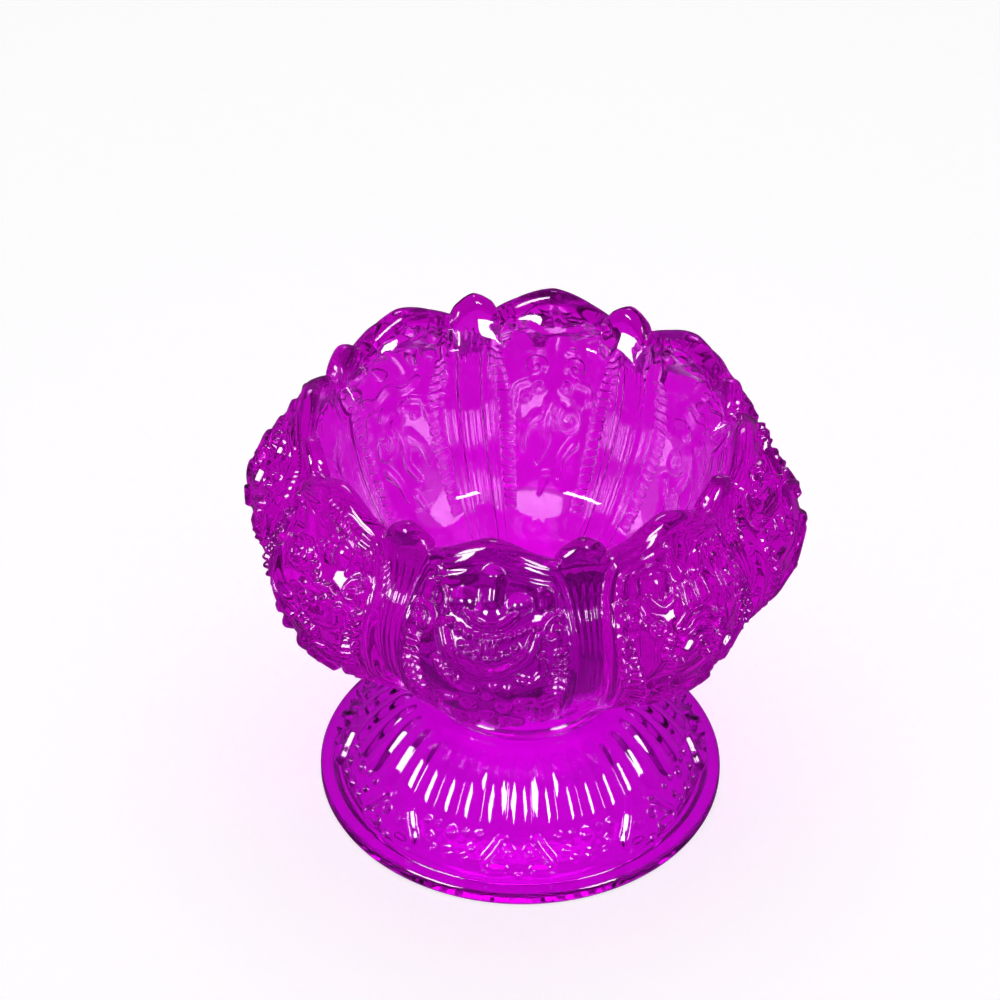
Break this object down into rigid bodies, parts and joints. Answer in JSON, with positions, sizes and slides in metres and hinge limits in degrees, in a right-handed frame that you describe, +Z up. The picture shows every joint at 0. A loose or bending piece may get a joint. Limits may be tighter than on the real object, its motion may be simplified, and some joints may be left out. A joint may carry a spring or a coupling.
{
  "type": "lotus candle holder",
  "caption": "Pressed glass candle holder: a thick lotus-shaped bowl with large and small petals on a hollow bell foot, for a tea light or a butter lamp.",
  "frame": {"origin": "centre of the foot's rim on the table", "axes": "+Z up along the axis of the bowl and foot, -Y towards the middle of a large petal, which is the front"},
  "size_m": [0.0852, 0.0854, 0.0701],
  "materials": {
    "foot_glass": "fire-polished clear magenta pressed glass",
    "wafer_glass": "fire-polished clear magenta glass",
    "bowl_glass": "fire-polished clear magenta pressed glass"
  },
  "bodies": {
    "root": {"foot": "foot_glass", "neck_wafer": "wafer_glass", "bowl": "bowl_glass"}
  },
  "joints": []
}
